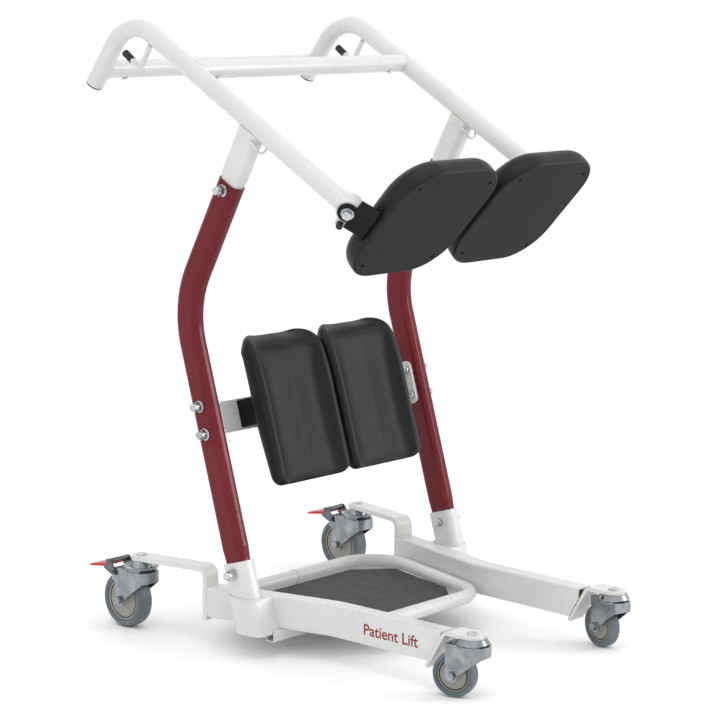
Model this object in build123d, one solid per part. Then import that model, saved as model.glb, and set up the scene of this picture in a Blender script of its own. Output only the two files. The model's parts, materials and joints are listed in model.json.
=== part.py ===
"""Sit to stand lift: rolling base with platform, bent uprights, arms, knee pads and two hinged seat pads.

Frame: +Z up, +Y towards the caregiver's side, X across. All lengths are in millimetres.
Side parts are modelled on the -X side (left) and mirrored for the right.
"""
from build123d import *

import math
import os

# ---------------------------------------------------------------- driving dimensions
ORIGIN_Y = 58.0            # the object's middle, measured from the midpoint between the caster bolts
SIDE_X = 267.0             # plane of the arms and posts, from the middle

LEG_W, LEG_H, LEG_WALL, LEG_TOP = 36.0, 54.0, 2.5, 102.0
LEG_REAR = (252.0, 200.0)
LEG_BEND = (190.0, -45.0)
LEG_FRONT = (183.0, -285.0)
LEG_BEND_R = 120.0

REAR_BOLT = (281.2, 343.4)
REAR_MOUNT_TOP = 135.9
STRAP_W, STRAP_T = 36.0, 8.0
FRONT_BOLT = (188.5, -343.4)
FRONT_MOUNT_TOP = 107.1
PLATE_W, PLATE_T, PLATE_BEND_R = 40.0, 6.0, 9.0
PLATE_FOOT, PLATE_BEND_Y = (-262.0, 41.0), -300.0

HOOP_R, HOOP_WALL = 12.5, 2.0
HOOP_REAR = (231.7, 242.0)
HOOP_FRONT = (142.4, -79.0)
HOOP_CORNER_REAR, HOOP_CORNER_FRONT = 75.0, 60.0
PAN_T, MAT_T = 2.5, 3.0
CROSS_TUBE, CROSS_TUBE_Y, CROSS_TUBE_HALF = 20.0, 54.0, 250.0

POST_W, POST_D, POST_R, POST_WALL = 30.0, 48.0, 12.0, 2.5
POST_LEAN, NECK_LEAN = 16.5, 28.5
POST_FOOT = (94.6, 103.0)              # (y, z) of the post's axis at the leg's top
POST_LOWER_RUN = 508.6                 # along the axis, from the foot to where its two runs would meet
POST_BEND_R = 165.0
POST_UPPER_RUN = 246.1                 # from there to the post's top
SLEEVE_TOP_Z = 161.0
SPIGOT_STEP = 3.0                      # swaged ends are this much smaller across
SPIGOT_LOW = -30.0                     # lower end of the post, along its axis from the leg's top

TUBE_R, TUBE_WALL = 16.0, 2.3
ARM_END = (-144.0, 782.0)              # the seat pivot, on the arm's axis
ARM_VERTEX = (373.0, 1081.0)
HANDLE_END = (465.0, 960.0)
ARM_BEND_R = 75.0
BAR_FRONT = (216.0, 990.2)
BAR_REAR = (446.0, 985.0)
BAR_SEAM, BAR_SPIGOT_IN, BAR_SPIGOT_OUT, BAR_SCREW = 185.0, 150.0, 236.0, 217.4

HOOK_R, HOOK_CAP_R = 4.8, 6.4
HOOK_ROOT, HOOK_LOW, HOOK_TIP = (320.0, 1029.0), (345.5, 988.0), (384.0, 1014.5)

KNEE_CENTRE = (182.0, 398.4)           # (y, z) between the two knee bolts, on the post's axis
KNEE_BOLT_HALF = 24.1
BEAM_BACK, BEAM_FRONT, BEAM_H = -50.0, -25.0, 56.0
RAIL_FRONT, RAIL_H, RAIL_HALF = 16.0, 48.0, 172.0
KNEE_PAD_W, KNEE_PAD_MID, KNEE_PAD_T = 183.0, 94.5, 29.0
KNEE_PAD_LOW, KNEE_PAD_BEND, KNEE_PAD_ROLL, KNEE_PAD_ROLL_R = -137.0, 95.8, 32.0, 90.0

SEAT_TILT = 46.7                       # rise of the pads towards the front
SEAT_ORIGIN = (125.0, -183.0, 749.0)   # middle of a pad's underside
SEAT_W, SEAT_L, SEAT_CORNER, SEAT_T = 236.0, 246.0, 72.0, 45.0
BOARD_INSET, BOARD_T = 4.0, 9.0
HINGE_SKEW = 42.0                      # the pivot axis leans this far from the X axis
EAR_T, EAR_R, EAR_GAP = 3.0, 17.0, 13.0
BOSS_R = 20.0

BOLT_R, RUN_FIT = 5.0, 0.05
SWIVEL_R, AXLE_R = 6.0, 4.0
REAR_WHEEL_D, REAR_TRAIL = 100.0, 37.0
FRONT_WHEEL_D, FRONT_TRAIL, FRONT_TOE = 75.0, 30.0, 15.0


# ---------------------------------------------------------------- small helpers
def write(name, *shapes):
    """Moves the shapes to the object's frame and writes them as one sub-part."""
    solids = [Pos(0, -ORIGIN_Y, 0) * solid for shape in shapes for solid in shape.solids()]
    whole = solids[0] if len(solids) == 1 else Compound(children=solids)
    export_step(whole, f"parts/{name}.step")


def other_side(shape):
    return mirror(shape, about=Plane.YZ)


def write_pair(name, *shapes):
    write(f"{name}_left", *shapes)
    write(f"{name}_right", *[other_side(shape) for shape in shapes])


def both(shapes):
    return list(shapes) + [other_side(shape) for shape in shapes]


def swept(path, section, x_dir=(1, 0, 0)):
    start = Plane(origin=path @ 0, x_dir=x_dir, z_dir=path % 0)
    return sweep(start * section, path=path)


def side_path(points, radius, x=-SIDE_X):
    """A path in the side plane through (y, z) points, with round corners."""
    corners = [(x, y, z) for y, z in points]
    return Line(*corners) if len(corners) == 2 else FilletPolyline(*corners, radius=radius)


def rod(start, end, radius):
    axis = Vector(*end) - Vector(*start)
    return extrude(Plane(origin=start, z_dir=axis) * Circle(radius), amount=axis.length)


def rod_x(x0, x1, y, z, radius):
    return rod((x0, y, z), (x1, y, z), radius)


def lean_point(base, along, across=0.0, lean=POST_LEAN):
    """The (y, z) point at a distance along a leaning axis, and across it towards the rear."""
    a = math.radians(lean)
    return (base[0] + along * math.sin(a) + across * math.cos(a),
            base[1] + along * math.cos(a) - across * math.sin(a))


def post_vertex():
    return lean_point(POST_FOOT, POST_LOWER_RUN)


def post_top(along=0.0):
    """The (y, z) point on the upper run's axis, at a distance above the post's top."""
    return lean_point(post_vertex(), POST_UPPER_RUN + along, lean=-NECK_LEAN)


# ---------------------------------------------------------------- base
def leg_path():
    z = LEG_TOP - LEG_H / 2
    corners = [(-x, y, z) for x, y in (LEG_REAR, LEG_BEND, LEG_FRONT)]
    return FilletPolyline(*corners, radius=LEG_BEND_R)


def leg_body(path, width, height, corner):
    """Rectangular tube along the leg's path, with its section upright."""
    start = Plane(origin=path @ 0, x_dir=Vector(0, 0, 1).cross(path % 0), z_dir=path % 0)
    return sweep(start * RectangleRounded(width, height, corner), path=path)


def strap_heading():
    return Vector(-(REAR_BOLT[0] - LEG_REAR[0]), REAR_BOLT[1] - LEG_REAR[1], 0).normalized()


def leg_rear_end():
    return Vector(-LEG_REAR[0], LEG_REAR[1], 0) - strap_heading() * 6


def front_plate_path():
    """Side profile of the front caster plate: up the slanted leg end, then forward over the caster."""
    x = -FRONT_BOLT[0]
    z_top = FRONT_MOUNT_TOP - PLATE_T / 2
    points = [(x, *PLATE_FOOT), (x, PLATE_BEND_Y, z_top), (x, FRONT_BOLT[1], z_top)]
    return FilletPolyline(*points, radius=PLATE_BEND_R)


def ahead_of_front_plate():
    """(y, z) face in front of the plate's slanted back and its bend, which close the leg."""
    foot = Vector(*PLATE_FOOT)
    slant = (Vector(PLATE_BEND_Y, FRONT_MOUNT_TOP - PLATE_T / 2) - foot).normalized()
    back = foot + Vector(slant.Y, -slant.X) * (PLATE_T / 2)
    low = back - slant * 30
    corner = back + slant * ((FRONT_MOUNT_TOP - back.Y) / slant.Y)
    outline = Polyline((low.X, low.Y), (corner.X, corner.Y), (-400, corner.Y), (-400, low.Y), close=True)
    face = make_face(outline)
    bend = face.vertices().sort_by_distance((corner.X, corner.Y, 0))[0]
    return fillet(bend, PLATE_BEND_R + PLATE_T / 2)


def make_leg():
    path = leg_path()
    tube = leg_body(path, LEG_W, LEG_H, 4.0) - leg_body(path, LEG_W - 2 * LEG_WALL, LEG_H - 2 * LEG_WALL, 2.0)
    heading = strap_heading()
    rear = Plane(origin=leg_rear_end(), z_dir=heading)
    tube -= extrude(rear * Rectangle(300, 300), amount=80)
    return tube - extrude(Plane.YZ * ahead_of_front_plate(), amount=400, both=True)


def make_rear_caster_arm():
    """Cranked flat bar: up the leg's rear end, then back to the caster bolt."""
    heading = strap_heading()
    foot = leg_rear_end() + heading * (STRAP_T / 2)
    z_top = REAR_MOUNT_TOP - STRAP_T / 2
    bolt = Vector(-REAR_BOLT[0], REAR_BOLT[1], z_top)
    path = FilletPolyline(foot + Vector(0, 0, 43), foot + Vector(0, 0, z_top), bolt, radius=14.0)
    start = Plane(origin=path @ 0, x_dir=heading.cross(Vector(0, 0, 1)), z_dir=path % 0)
    strap = sweep(start * Rectangle(STRAP_W, STRAP_T), path=path)
    end = Pos(bolt.X, bolt.Y, z_top) * Cylinder(STRAP_W / 2, STRAP_T)
    hole = Pos(bolt.X, bolt.Y, z_top) * Cylinder(SWIVEL_R, 3 * STRAP_T)
    return strap + end - hole


def make_front_caster_plate():
    path = front_plate_path()
    plate = swept(path, Rectangle(PLATE_W, PLATE_T))
    z_mid = FRONT_MOUNT_TOP - PLATE_T / 2
    spot = Pos(-FRONT_BOLT[0], FRONT_BOLT[1], z_mid)
    return plate + spot * Cylinder(PLATE_W / 2, PLATE_T) - spot * Cylinder(SWIVEL_R, 3 * PLATE_T)


def hoop_outline(inset):
    """Outline inside the platform hoop, at a distance in from the tube's axis."""
    corners = [(-HOOP_REAR[0], HOOP_REAR[1]), (-HOOP_FRONT[0], HOOP_FRONT[1]),
               (HOOP_FRONT[0], HOOP_FRONT[1]), (HOOP_REAR[0], HOOP_REAR[1])]
    face = make_face(Polyline(*corners, close=True))
    rear = face.vertices().filter_by_position(Axis.Y, HOOP_REAR[1] - 1, HOOP_REAR[1] + 1)
    face = fillet(rear, HOOP_CORNER_REAR)
    front = [v for v in face.vertices() if v.Y < HOOP_FRONT[1] + 1]
    face = fillet(front, HOOP_CORNER_FRONT)
    return offset(face, amount=-inset)


def make_hoop():
    """Round tube bent into a closed loop, butt-welded at the middle of the rear run."""
    z = LEG_TOP - LEG_H + HOOP_R
    half = HOOP_REAR[0] * 0.25
    loop = [(-half, HOOP_REAR[1]), (-HOOP_REAR[0], HOOP_REAR[1]), (-HOOP_FRONT[0], HOOP_FRONT[1]),
            (HOOP_FRONT[0], HOOP_FRONT[1]), (HOOP_REAR[0], HOOP_REAR[1]), (half, HOOP_REAR[1])]
    radii = [HOOP_CORNER_REAR, HOOP_CORNER_FRONT, HOOP_CORNER_FRONT, HOOP_CORNER_REAR]
    path = FilletPolyline(*[(x, y, z) for x, y in loop], radius=radii)
    section = Circle(HOOP_R) - Circle(HOOP_R - HOOP_WALL)
    rear_run = extrude(Plane(origin=(-half, HOOP_REAR[1], z), z_dir=(1, 0, 0)) * section, amount=2 * half)
    return swept(path, section, x_dir=(0, 0, 1)) + rear_run


def make_pan_and_mat():
    floor = LEG_TOP - LEG_H
    pan = extrude(Pos(0, 0, floor) * hoop_outline(9.0), amount=PAN_T)
    half = [(130, 219), (192, 164), (152.6, 5.6), (92, -58)]
    outline = half + [(-x, y) for x, y in reversed(half)]
    face = fillet(make_face(Polyline(*outline, close=True)).vertices(), 4.0)
    return pan, extrude(Pos(0, 0, floor + PAN_T) * face, amount=MAT_T)


def cross_tube_outline(inset=0.0, corner=2.0):
    z = LEG_TOP - LEG_H - CROSS_TUBE / 2
    start = Plane(origin=(-CROSS_TUBE_HALF, CROSS_TUBE_Y, z), z_dir=(1, 0, 0))
    side = CROSS_TUBE - 2 * inset
    return extrude(start * RectangleRounded(side, side, corner), amount=2 * CROSS_TUBE_HALF)


def make_cross_tube():
    return cross_tube_outline() - cross_tube_outline(inset=2.0, corner=1.0)


# ---------------------------------------------------------------- posts and their sockets
def post_section(grow=0.0):
    return RectangleRounded(POST_W + grow, POST_D + grow, POST_R + grow / 2)


def lower_post_plane(along):
    y, z = lean_point(POST_FOOT, along)
    a = math.radians(POST_LEAN)
    return Plane(origin=(-SIDE_X, y, z), x_dir=(1, 0, 0), z_dir=(0, math.sin(a), math.cos(a)))


def upper_post_plane(along):
    """A section plane on the upper run, at a distance above the post's top."""
    y, z = post_top(along)
    a = math.radians(NECK_LEAN)
    return Plane(origin=(-SIDE_X, y, z), x_dir=(1, 0, 0), z_dir=(0, -math.sin(a), math.cos(a)))


def sleeve_top_along():
    return (SLEEVE_TOP_Z - POST_FOOT[1]) / math.cos(math.radians(POST_LEAN))


def post_form(grow=0.0):
    """The post's outline: a swaged spigot, a short taper, and the bent full-size run."""
    shoulder = sleeve_top_along() + 4
    full = shoulder + 20
    path = side_path([lean_point(POST_FOOT, full), post_vertex(), post_top()], POST_BEND_R)
    run = swept(path, post_section(grow))
    narrow = post_section(grow - SPIGOT_STEP)
    taper = loft([lower_post_plane(shoulder) * narrow, lower_post_plane(full) * post_section(grow)])
    return run + taper + extrude(lower_post_plane(SPIGOT_LOW) * narrow, amount=shoulder - SPIGOT_LOW)


def make_post():
    return post_form() - post_form(-2 * POST_WALL)


def make_socket(leg_outer):
    """Sleeve above the leg, and a box around it that closes onto the leg's outer face."""
    top = sleeve_top_along()
    low_z = 42.0
    start = lower_post_plane(-90)
    box = extrude(start * RectangleRounded(39, 58, 14), amount=190)
    wedge = extrude(start * Pos(22, 0) * Rectangle(44, 58), amount=190)
    band = Pos(-SIDE_X, 90, (low_z + LEG_TOP) / 2) * Box(140, 240, LEG_TOP - low_z)
    body = (box + wedge) & band
    body -= leg_outer
    body -= Pos(-160, 90, 70) * Box(130, 300, 90)
    body = body.solids().sort_by(Axis.X)[0]
    body -= cross_tube_outline()
    sleeve = extrude(lower_post_plane(-16) * RectangleRounded(36, 54, 14), amount=top + 16) - leg_outer
    bore = extrude(lower_post_plane(SPIGOT_LOW) * post_section(-SPIGOT_STEP + 0.2), amount=top + 60)
    return body + sleeve - bore


# ---------------------------------------------------------------- arms, necks and crossbars
def arm_path():
    return side_path([ARM_END, ARM_VERTEX, HANDLE_END], ARM_BEND_R)


def seat_axes():
    """Unit vectors of the left pad: face normal, rise along the pad, pivot axis, and ear direction."""
    t, k = math.radians(SEAT_TILT), math.radians(HINGE_SKEW)
    normal = Vector(0, math.sin(t), math.cos(t))
    rise = Vector(0, -math.cos(t), math.sin(t))
    pivot = Vector(-math.cos(k), 0, 0) - normal * math.sin(k)
    ear = Vector(math.sin(k), 0, 0) - normal * math.cos(k)
    return normal, rise, pivot, ear


def pivot_plane(along):
    """Plane square to the pivot axis; its X runs down the ear and its Y along the pad's rise."""
    normal, rise, pivot, ear = seat_axes()
    centre = Vector(-SIDE_X, *ARM_END)
    return Plane(origin=centre + pivot * along, x_dir=ear, z_dir=pivot)


def make_arm():
    path = arm_path()
    tube = swept(path, Circle(TUBE_R)) - swept(path, Circle(TUBE_R - TUBE_WALL))
    boss = extrude(pivot_plane(-15) * Circle(BOSS_R), amount=27.4)
    side = pivot_plane(0).y_dir.dot(seat_axes()[1])
    lug_spot = Pos(1.5, -29 * side)
    lug_face = lug_spot * Circle(8.5) + Pos(1, -15 * side) * Rectangle(15, 28)
    lug = extrude(pivot_plane(0) * lug_face, amount=8)
    bore = extrude(pivot_plane(-20) * Circle(SWIVEL_R), amount=40)
    bore += extrude(pivot_plane(-45) * Circle(12), amount=30)
    stop_hole = extrude(pivot_plane(-5) * lug_spot * Circle(3.0), amount=20)
    return tube + boss + lug - bore - stop_hole


def make_stop():
    """Rubber bumper on a stud, which the bracket's corner rests on."""
    side = pivot_plane(0).y_dir.dot(seat_axes()[1])
    spot = Pos(1.5, -29 * side)
    stud = extrude(pivot_plane(0.2) * spot * Circle(2.95), amount=8)
    bumper = extrude(pivot_plane(8.1) * spot * Circle(5.5), amount=11)
    return stud + fillet(bumper.edges().filter_by(GeomType.CIRCLE).sort_by(Axis.X)[0], 2.0)


def make_neck(arm_outer):
    """Stub of post section welded under the arm, swaged to slide into the post's top."""
    step = -2 * POST_WALL - 0.4
    wall = -2 * POST_WALL
    up = extrude(upper_post_plane(12) * post_section(), amount=90)
    up -= extrude(upper_post_plane(12) * post_section(wall), amount=90)
    swage = loft([upper_post_plane(0.5) * post_section(step), upper_post_plane(12) * post_section()])
    inner_low = upper_post_plane(0.5) * post_section(step + wall)
    swage -= loft([inner_low, upper_post_plane(12) * post_section(wall)])
    spigot = extrude(upper_post_plane(-55) * post_section(step), amount=55.5)
    spigot -= extrude(upper_post_plane(-55) * post_section(step + wall), amount=55.5)
    return (up + swage + spigot - arm_outer).solids().sort_by(Axis.Z)[0]


def make_crossbar(y, z):
    spigot_r = TUBE_R - TUBE_WALL
    bar = rod_x(-BAR_SEAM + 0.1, BAR_SEAM - 0.1, y, z, TUBE_R)
    bar -= rod_x(-BAR_SEAM, BAR_SEAM, y, z, spigot_r)
    for side in (-1, 1):
        ends = sorted((side * BAR_SPIGOT_IN, side * BAR_SPIGOT_OUT))
        seat = sorted((side * BAR_SPIGOT_IN, side * (BAR_SEAM - 0.1)))
        bar += rod_x(*ends, y, z, spigot_r - 0.1) - rod_x(ends[0] - 1, ends[1] + 1, y, z, spigot_r - 2.4)
        bar += rod_x(*seat, y, z, spigot_r) - rod_x(*seat, y, z, spigot_r - 1.0)
    return bar


def make_stub(y, z, arm_outer):
    stub = rod_x(-SIDE_X, -BAR_SEAM - 0.1, y, z, TUBE_R)
    stub -= rod_x(-SIDE_X, -BAR_SEAM, y, z, TUBE_R - TUBE_WALL)
    return (stub - arm_outer).solids().sort_by(Axis.X)[-1]


def screw_direction(y):
    """Screws of the front bar enter square to the arm, those of the rear bar from below."""
    angle = math.radians(-120.0 if y == BAR_FRONT[0] else -100.0)
    return Vector(0, math.cos(angle), math.sin(angle))


def make_screw(x, y, z):
    out = screw_direction(y)
    seat = Vector(x, y, z) + out * (TUBE_R - 0.3)
    head = extrude(Plane(origin=seat, z_dir=out) * Circle(5.2), amount=3.2)
    head = fillet(head.edges().filter_by(GeomType.CIRCLE), 1.2)
    head -= extrude(Plane(origin=seat + out * 1.4, z_dir=out) * RegularPolygon(2.0, 6), amount=5)
    return head + rod(tuple(seat - out * 8.0), tuple(seat + out), 3.0)


def screw_hole(x, y, z):
    out = screw_direction(y)
    centre = Vector(x, y, z)
    seat = extrude(Plane(origin=centre + out * (TUBE_R - 0.3), z_dir=out) * Circle(5.4), amount=8)
    return seat + rod(tuple(centre + out * 5), tuple(centre + out * 30), 3.05)


def hook_path():
    return side_path([HOOK_ROOT, HOOK_LOW, HOOK_TIP], 11.0)


def make_hook(arm_outer):
    hook = swept(hook_path(), Circle(HOOK_R)) - arm_outer
    return hook.solids().sort_by(Axis.Z)[0]


def make_hook_cap():
    path = hook_path()
    tip, way = path @ 1, path % 1
    cap = rod(tuple(tip - way * 21), tuple(tip + way * 1.8), HOOK_CAP_R)
    cap = fillet(cap.edges().filter_by(GeomType.CIRCLE).sort_by(Axis.Z)[-1], 1.4)
    return cap - rod(tuple(tip - way * 22), tuple(tip + way * 0.05), HOOK_R)


def make_handle_plug():
    path = arm_path()
    end, way = path @ 1, path % 1
    cap = rod(tuple(end), tuple(end + way * 3), TUBE_R - 0.4)
    cap = fillet(cap.edges().filter_by(GeomType.CIRCLE).sort_by(Axis.Z)[0], 1.2)
    return cap + rod(tuple(end - way * 12), tuple(end + way), TUBE_R - TUBE_WALL)


# ---------------------------------------------------------------- bolts through the side frames
def bolt_places():
    """(y, z, inner face, outer face) of the bolts through one side frame."""
    face = SIDE_X - POST_W / 2, SIDE_X + POST_W / 2
    top = post_top(-15.0)
    knees = [lean_point(KNEE_CENTRE, along) for along in (KNEE_BOLT_HALF, -KNEE_BOLT_HALF)]
    foot = lean_point(POST_FOOT, 41.0)
    return ([(*top, face[0], face[1])] + [(*knee, face[0] - 6.0, face[1]) for knee in knees]
            + [(*foot, SIDE_X - 18.0, SIDE_X + 18.0)])


def make_bolt(y, z, inner, outer):
    head = rod_x(-inner, -inner + 6.0, y, z, 8.0)
    head = fillet(head.edges().filter_by(GeomType.CIRCLE).sort_by(Axis.X)[-1], 2.5)
    return head + rod_x(-outer - 12.0, -inner + 1, y, z, BOLT_R)


def make_acorn_nut(y, z, outer):
    face = outer + 3.0
    base = extrude(Plane(origin=(-face, y, z), z_dir=(-1, 0, 0)) * RegularPolygon(9.2, 6), amount=8.0)
    collar = rod_x(-face - 11.0, -face, y, z, 7.6)
    dome = Pos(-face - 11.0, y, z) * Sphere(7.6)
    return base + collar + dome - rod_x(-outer - 12.2, -outer, y, z, BOLT_R)


def make_washer(y, z, outer):
    ring = rod_x(-outer - 3.0, -outer, y, z, 10.5) - rod_x(-outer - 4, -outer + 1, y, z, BOLT_R + 0.2)
    return chamfer(ring.edges().filter_by(GeomType.CIRCLE).group_by(Axis.X)[0].sort_by(SortBy.RADIUS)[-1], 0.8)


# ---------------------------------------------------------------- knee support
def knee_plane(x, along=0.0, forward=0.0):
    """Plane across the knee support: X along the lift's width, Y forward, Z up along the post."""
    a = math.radians(POST_LEAN)
    y, z = lean_point(KNEE_CENTRE, along, across=-forward)
    return Plane(origin=(x, y, z), x_dir=(-1, 0, 0), z_dir=(0, math.sin(a), math.cos(a)))


def knee_box(x0, x1, back, front, low, high):
    size = (x1 - x0, front - back, high - low)
    place = knee_plane((x0 + x1) / 2, low, (back + front) / 2)
    return extrude(place * Rectangle(size[0], size[1]), amount=size[2])


def make_knee_beam():
    """Rectangular tube behind the posts, with a bolted plate at each end."""
    half, plate_x = BEAM_H / 2, SIDE_X - POST_W / 2
    tube = knee_box(-plate_x + 6, plate_x - 6, BEAM_BACK, BEAM_FRONT, -half, half)
    tube = fillet(tube.edges().filter_by(Axis.X), 4.0)
    wall = 2.5
    tube -= knee_box(-plate_x + 6, plate_x - 6, BEAM_BACK + wall, BEAM_FRONT - wall,
                     -half + wall, half - wall)
    for side in (-1, 1):
        ends = sorted((side * (plate_x - 6), side * plate_x))
        plate = knee_box(*ends, BEAM_BACK, 11.0, -40.0, 40.0)
        tube += fillet(plate.edges().filter_by(Axis.X), 11.0)
    return tube


def make_knee_rail():
    outer = knee_box(-RAIL_HALF, RAIL_HALF, BEAM_FRONT, RAIL_FRONT, -RAIL_H / 2, RAIL_H / 2)
    outer = fillet(outer.edges().filter_by(Axis.X), 3.0)
    wall = 3.0
    return outer - knee_box(-RAIL_HALF + wall, RAIL_HALF - wall, BEAM_FRONT + wall, RAIL_FRONT - wall,
                            -RAIL_H / 2 + wall, RAIL_H / 2 - wall)


def make_knee_pad():
    """Foam shin pad: raised side rims, a shallow channel, and a top edge that rolls back."""
    roll = math.radians(KNEE_PAD_ROLL)
    reach = 32.0
    points = [(KNEE_PAD_LOW, 0.0), (KNEE_PAD_BEND, 0.0),
              (KNEE_PAD_BEND + reach * math.cos(roll), -reach * math.sin(roll))]
    base = RAIL_FRONT + 0.2
    path = side_path([lean_point(KNEE_CENTRE, along, across=-(base + forward)) for along, forward in points],
                     KNEE_PAD_ROLL_R, x=-KNEE_PAD_MID)
    half, rim, dip = KNEE_PAD_W / 2, 26.0, 12.0
    front = [(half - rim, KNEE_PAD_T), (0, KNEE_PAD_T - dip), (-half + rim, KNEE_PAD_T)]
    outline = (Line((-half, 6), (-half, KNEE_PAD_T - 14))
               + RadiusArc((-half, KNEE_PAD_T - 14), (-half + 14, KNEE_PAD_T), 14)
               + Line((-half + 14, KNEE_PAD_T), front[2]) + ThreePointArc(front[2], front[1], front[0])
               + Line(front[0], (half - 14, KNEE_PAD_T))
               + RadiusArc((half - 14, KNEE_PAD_T), (half, KNEE_PAD_T - 14), 14)
               + Line((half, KNEE_PAD_T - 14), (half, 6)) + Line((half, 6), (half - 6, 0))
               + Line((half - 6, 0), (-half + 6, 0)) + Line((-half + 6, 0), (-half, 6)))
    section = make_face(outline)
    start = Plane(origin=path @ 0, x_dir=(-1, 0, 0), z_dir=path % 0)
    return sweep(start * section, path=path)


# ---------------------------------------------------------------- seat pads
def seat_plane(height=0.0):
    normal = seat_axes()[0]
    origin = Vector(-SEAT_ORIGIN[0], SEAT_ORIGIN[1], SEAT_ORIGIN[2]) + normal * height
    return Plane(origin=origin, x_dir=(1, 0, 0), z_dir=normal)


def make_seat_bracket():
    """Bent plate: an ear square to the pivot bolt, and a leaf screwed to the seat board."""
    side = pivot_plane(0).y_dir.dot(seat_axes()[1])
    ear = pivot_plane(EAR_GAP) * (Circle(EAR_R) + Pos(24.5, 3.0 * side) * Rectangle(34, 60))
    plate = extrude(ear, amount=EAR_T)
    shift = side * 3.0 + (pivot_plane(0).origin - seat_plane().origin).dot(seat_plane().y_dir)
    leaf = extrude(seat_plane(BOARD_T) * Pos(-101.0, shift) * Rectangle(46, 60), amount=EAR_T)
    limit = extrude(seat_plane(BOARD_T) * Rectangle(600, 600), amount=200)
    plate = plate & limit
    outer = extrude(pivot_plane(EAR_GAP + EAR_T) * Rectangle(400, 400), amount=60)
    web = extrude(seat_plane(BOARD_T) * Pos(-121.0, shift) * Rectangle(16, 60), amount=EAR_T)
    bore = extrude(pivot_plane(0) * Circle(SWIVEL_R + RUN_FIT), amount=40)
    screws = [seat_plane(BOARD_T - 1) * Pos(-93.0, shift + d) for d in (-18, 18)]
    holes = [extrude(place * Circle(3.0), amount=8) for place in screws]
    return plate + leaf + (web - outer) - bore - holes


def board_face(grow=0.0):
    inset = BOARD_INSET - grow
    return RectangleRounded(SEAT_W - 2 * inset, SEAT_L - 2 * inset, SEAT_CORNER - inset)


def make_seat_board():
    board = extrude(seat_plane() * board_face(), amount=BOARD_T)
    screws = [seat_plane(-1) * Pos(x, y) for x in (-86, 86) for y in (-90, 90)]
    holes = [extrude(place * Circle(3.2), amount=5) for place in screws]
    return board - holes


def make_seat_cushion(bracket):
    pad = extrude(RectangleRounded(SEAT_W, SEAT_L, SEAT_CORNER), amount=SEAT_T)
    pad = fillet(pad.edges().group_by(Axis.Z)[-1], 20.0)
    pad = fillet(pad.edges().group_by(Axis.Z)[0], 2.5)
    pad = seat_plane().location * pad
    pad -= extrude(seat_plane(-1) * board_face(), amount=BOARD_T + 1)
    return pad - bracket


def make_pivot_bolt():
    shaft = extrude(pivot_plane(-22) * Circle(SWIVEL_R), amount=42)
    washer = extrude(pivot_plane(EAR_GAP + EAR_T + 0.3) * Circle(10.8), amount=2.0)
    head = extrude(pivot_plane(EAR_GAP + EAR_T + 2.3) * RegularPolygon(8.6, 6), amount=6.5)
    nut = extrude(pivot_plane(-22.8) * RegularPolygon(9.2, 6), amount=7.6)
    return shaft + washer + head + nut


# ---------------------------------------------------------------- casters
def caster_frame(bolt, toe):
    """Places a caster modelled with its swivel on Z and its wheel trailing towards +X."""
    return Pos(-bolt[0], bolt[1], 0) * Rot(0, 0, 90 + toe)


def ring_profile(points):
    return revolve(make_face(Plane.XZ * Polyline(*points, close=True)), axis=Axis.Z)


def make_race(crown, mount, rim_up):
    """Upper bearing race: an open dish under the mount, or a hood that flares down over the crown."""
    low = crown + 0.5
    bore = SWIVEL_R
    if rim_up:
        points = [(bore, low), (26, low), (32, low + 9), (30, low + 9.6), (20, low + 3.5), (14, mount),
                  (bore, mount)]
    else:
        points = [(bore, low), (26, low), (28, low + 2.5), (23, mount), (bore, mount)]
    return ring_profile(points)


def make_stem(crown, mount, thickness):
    low, high = crown - 10, mount + thickness
    shaft = Pos(0, 0, (low + high) / 2) * Cylinder(SWIVEL_R, high - low)
    foot = Pos(0, 0, crown - 7.3) * Cylinder(10, 6.0)
    head = Pos(0, 0, mount + thickness + 1.2) * Cylinder(9.5, 2.4)
    head = fillet(head.edges().filter_by(GeomType.CIRCLE).sort_by(Axis.Z)[-1], 1.2)
    return shaft + foot + head


def brake_pivot(crown):
    return 49.0, crown - 8.0


def make_ears(crown, half, sheet):
    """Rear corners of the rear forks, which carry the brake's rivets."""
    x, z = brake_pivot(crown)
    ears = Pos(x - 4, 0, crown - 12.5) * Box(22, 2 * (half + sheet), 25)
    return fillet(ears.edges().filter_by(Axis.Y).sort_by(Axis.X)[-2:], 6.0)


def fork_plan(nose, half, rear):
    """Plan of a fork: round at the swivel end, straight-sided to the rear."""
    hood = Circle(nose) & Rectangle(200, 2 * half)
    return hood + Pos(rear / 2, 0) * Rectangle(rear, 2 * half)


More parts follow.
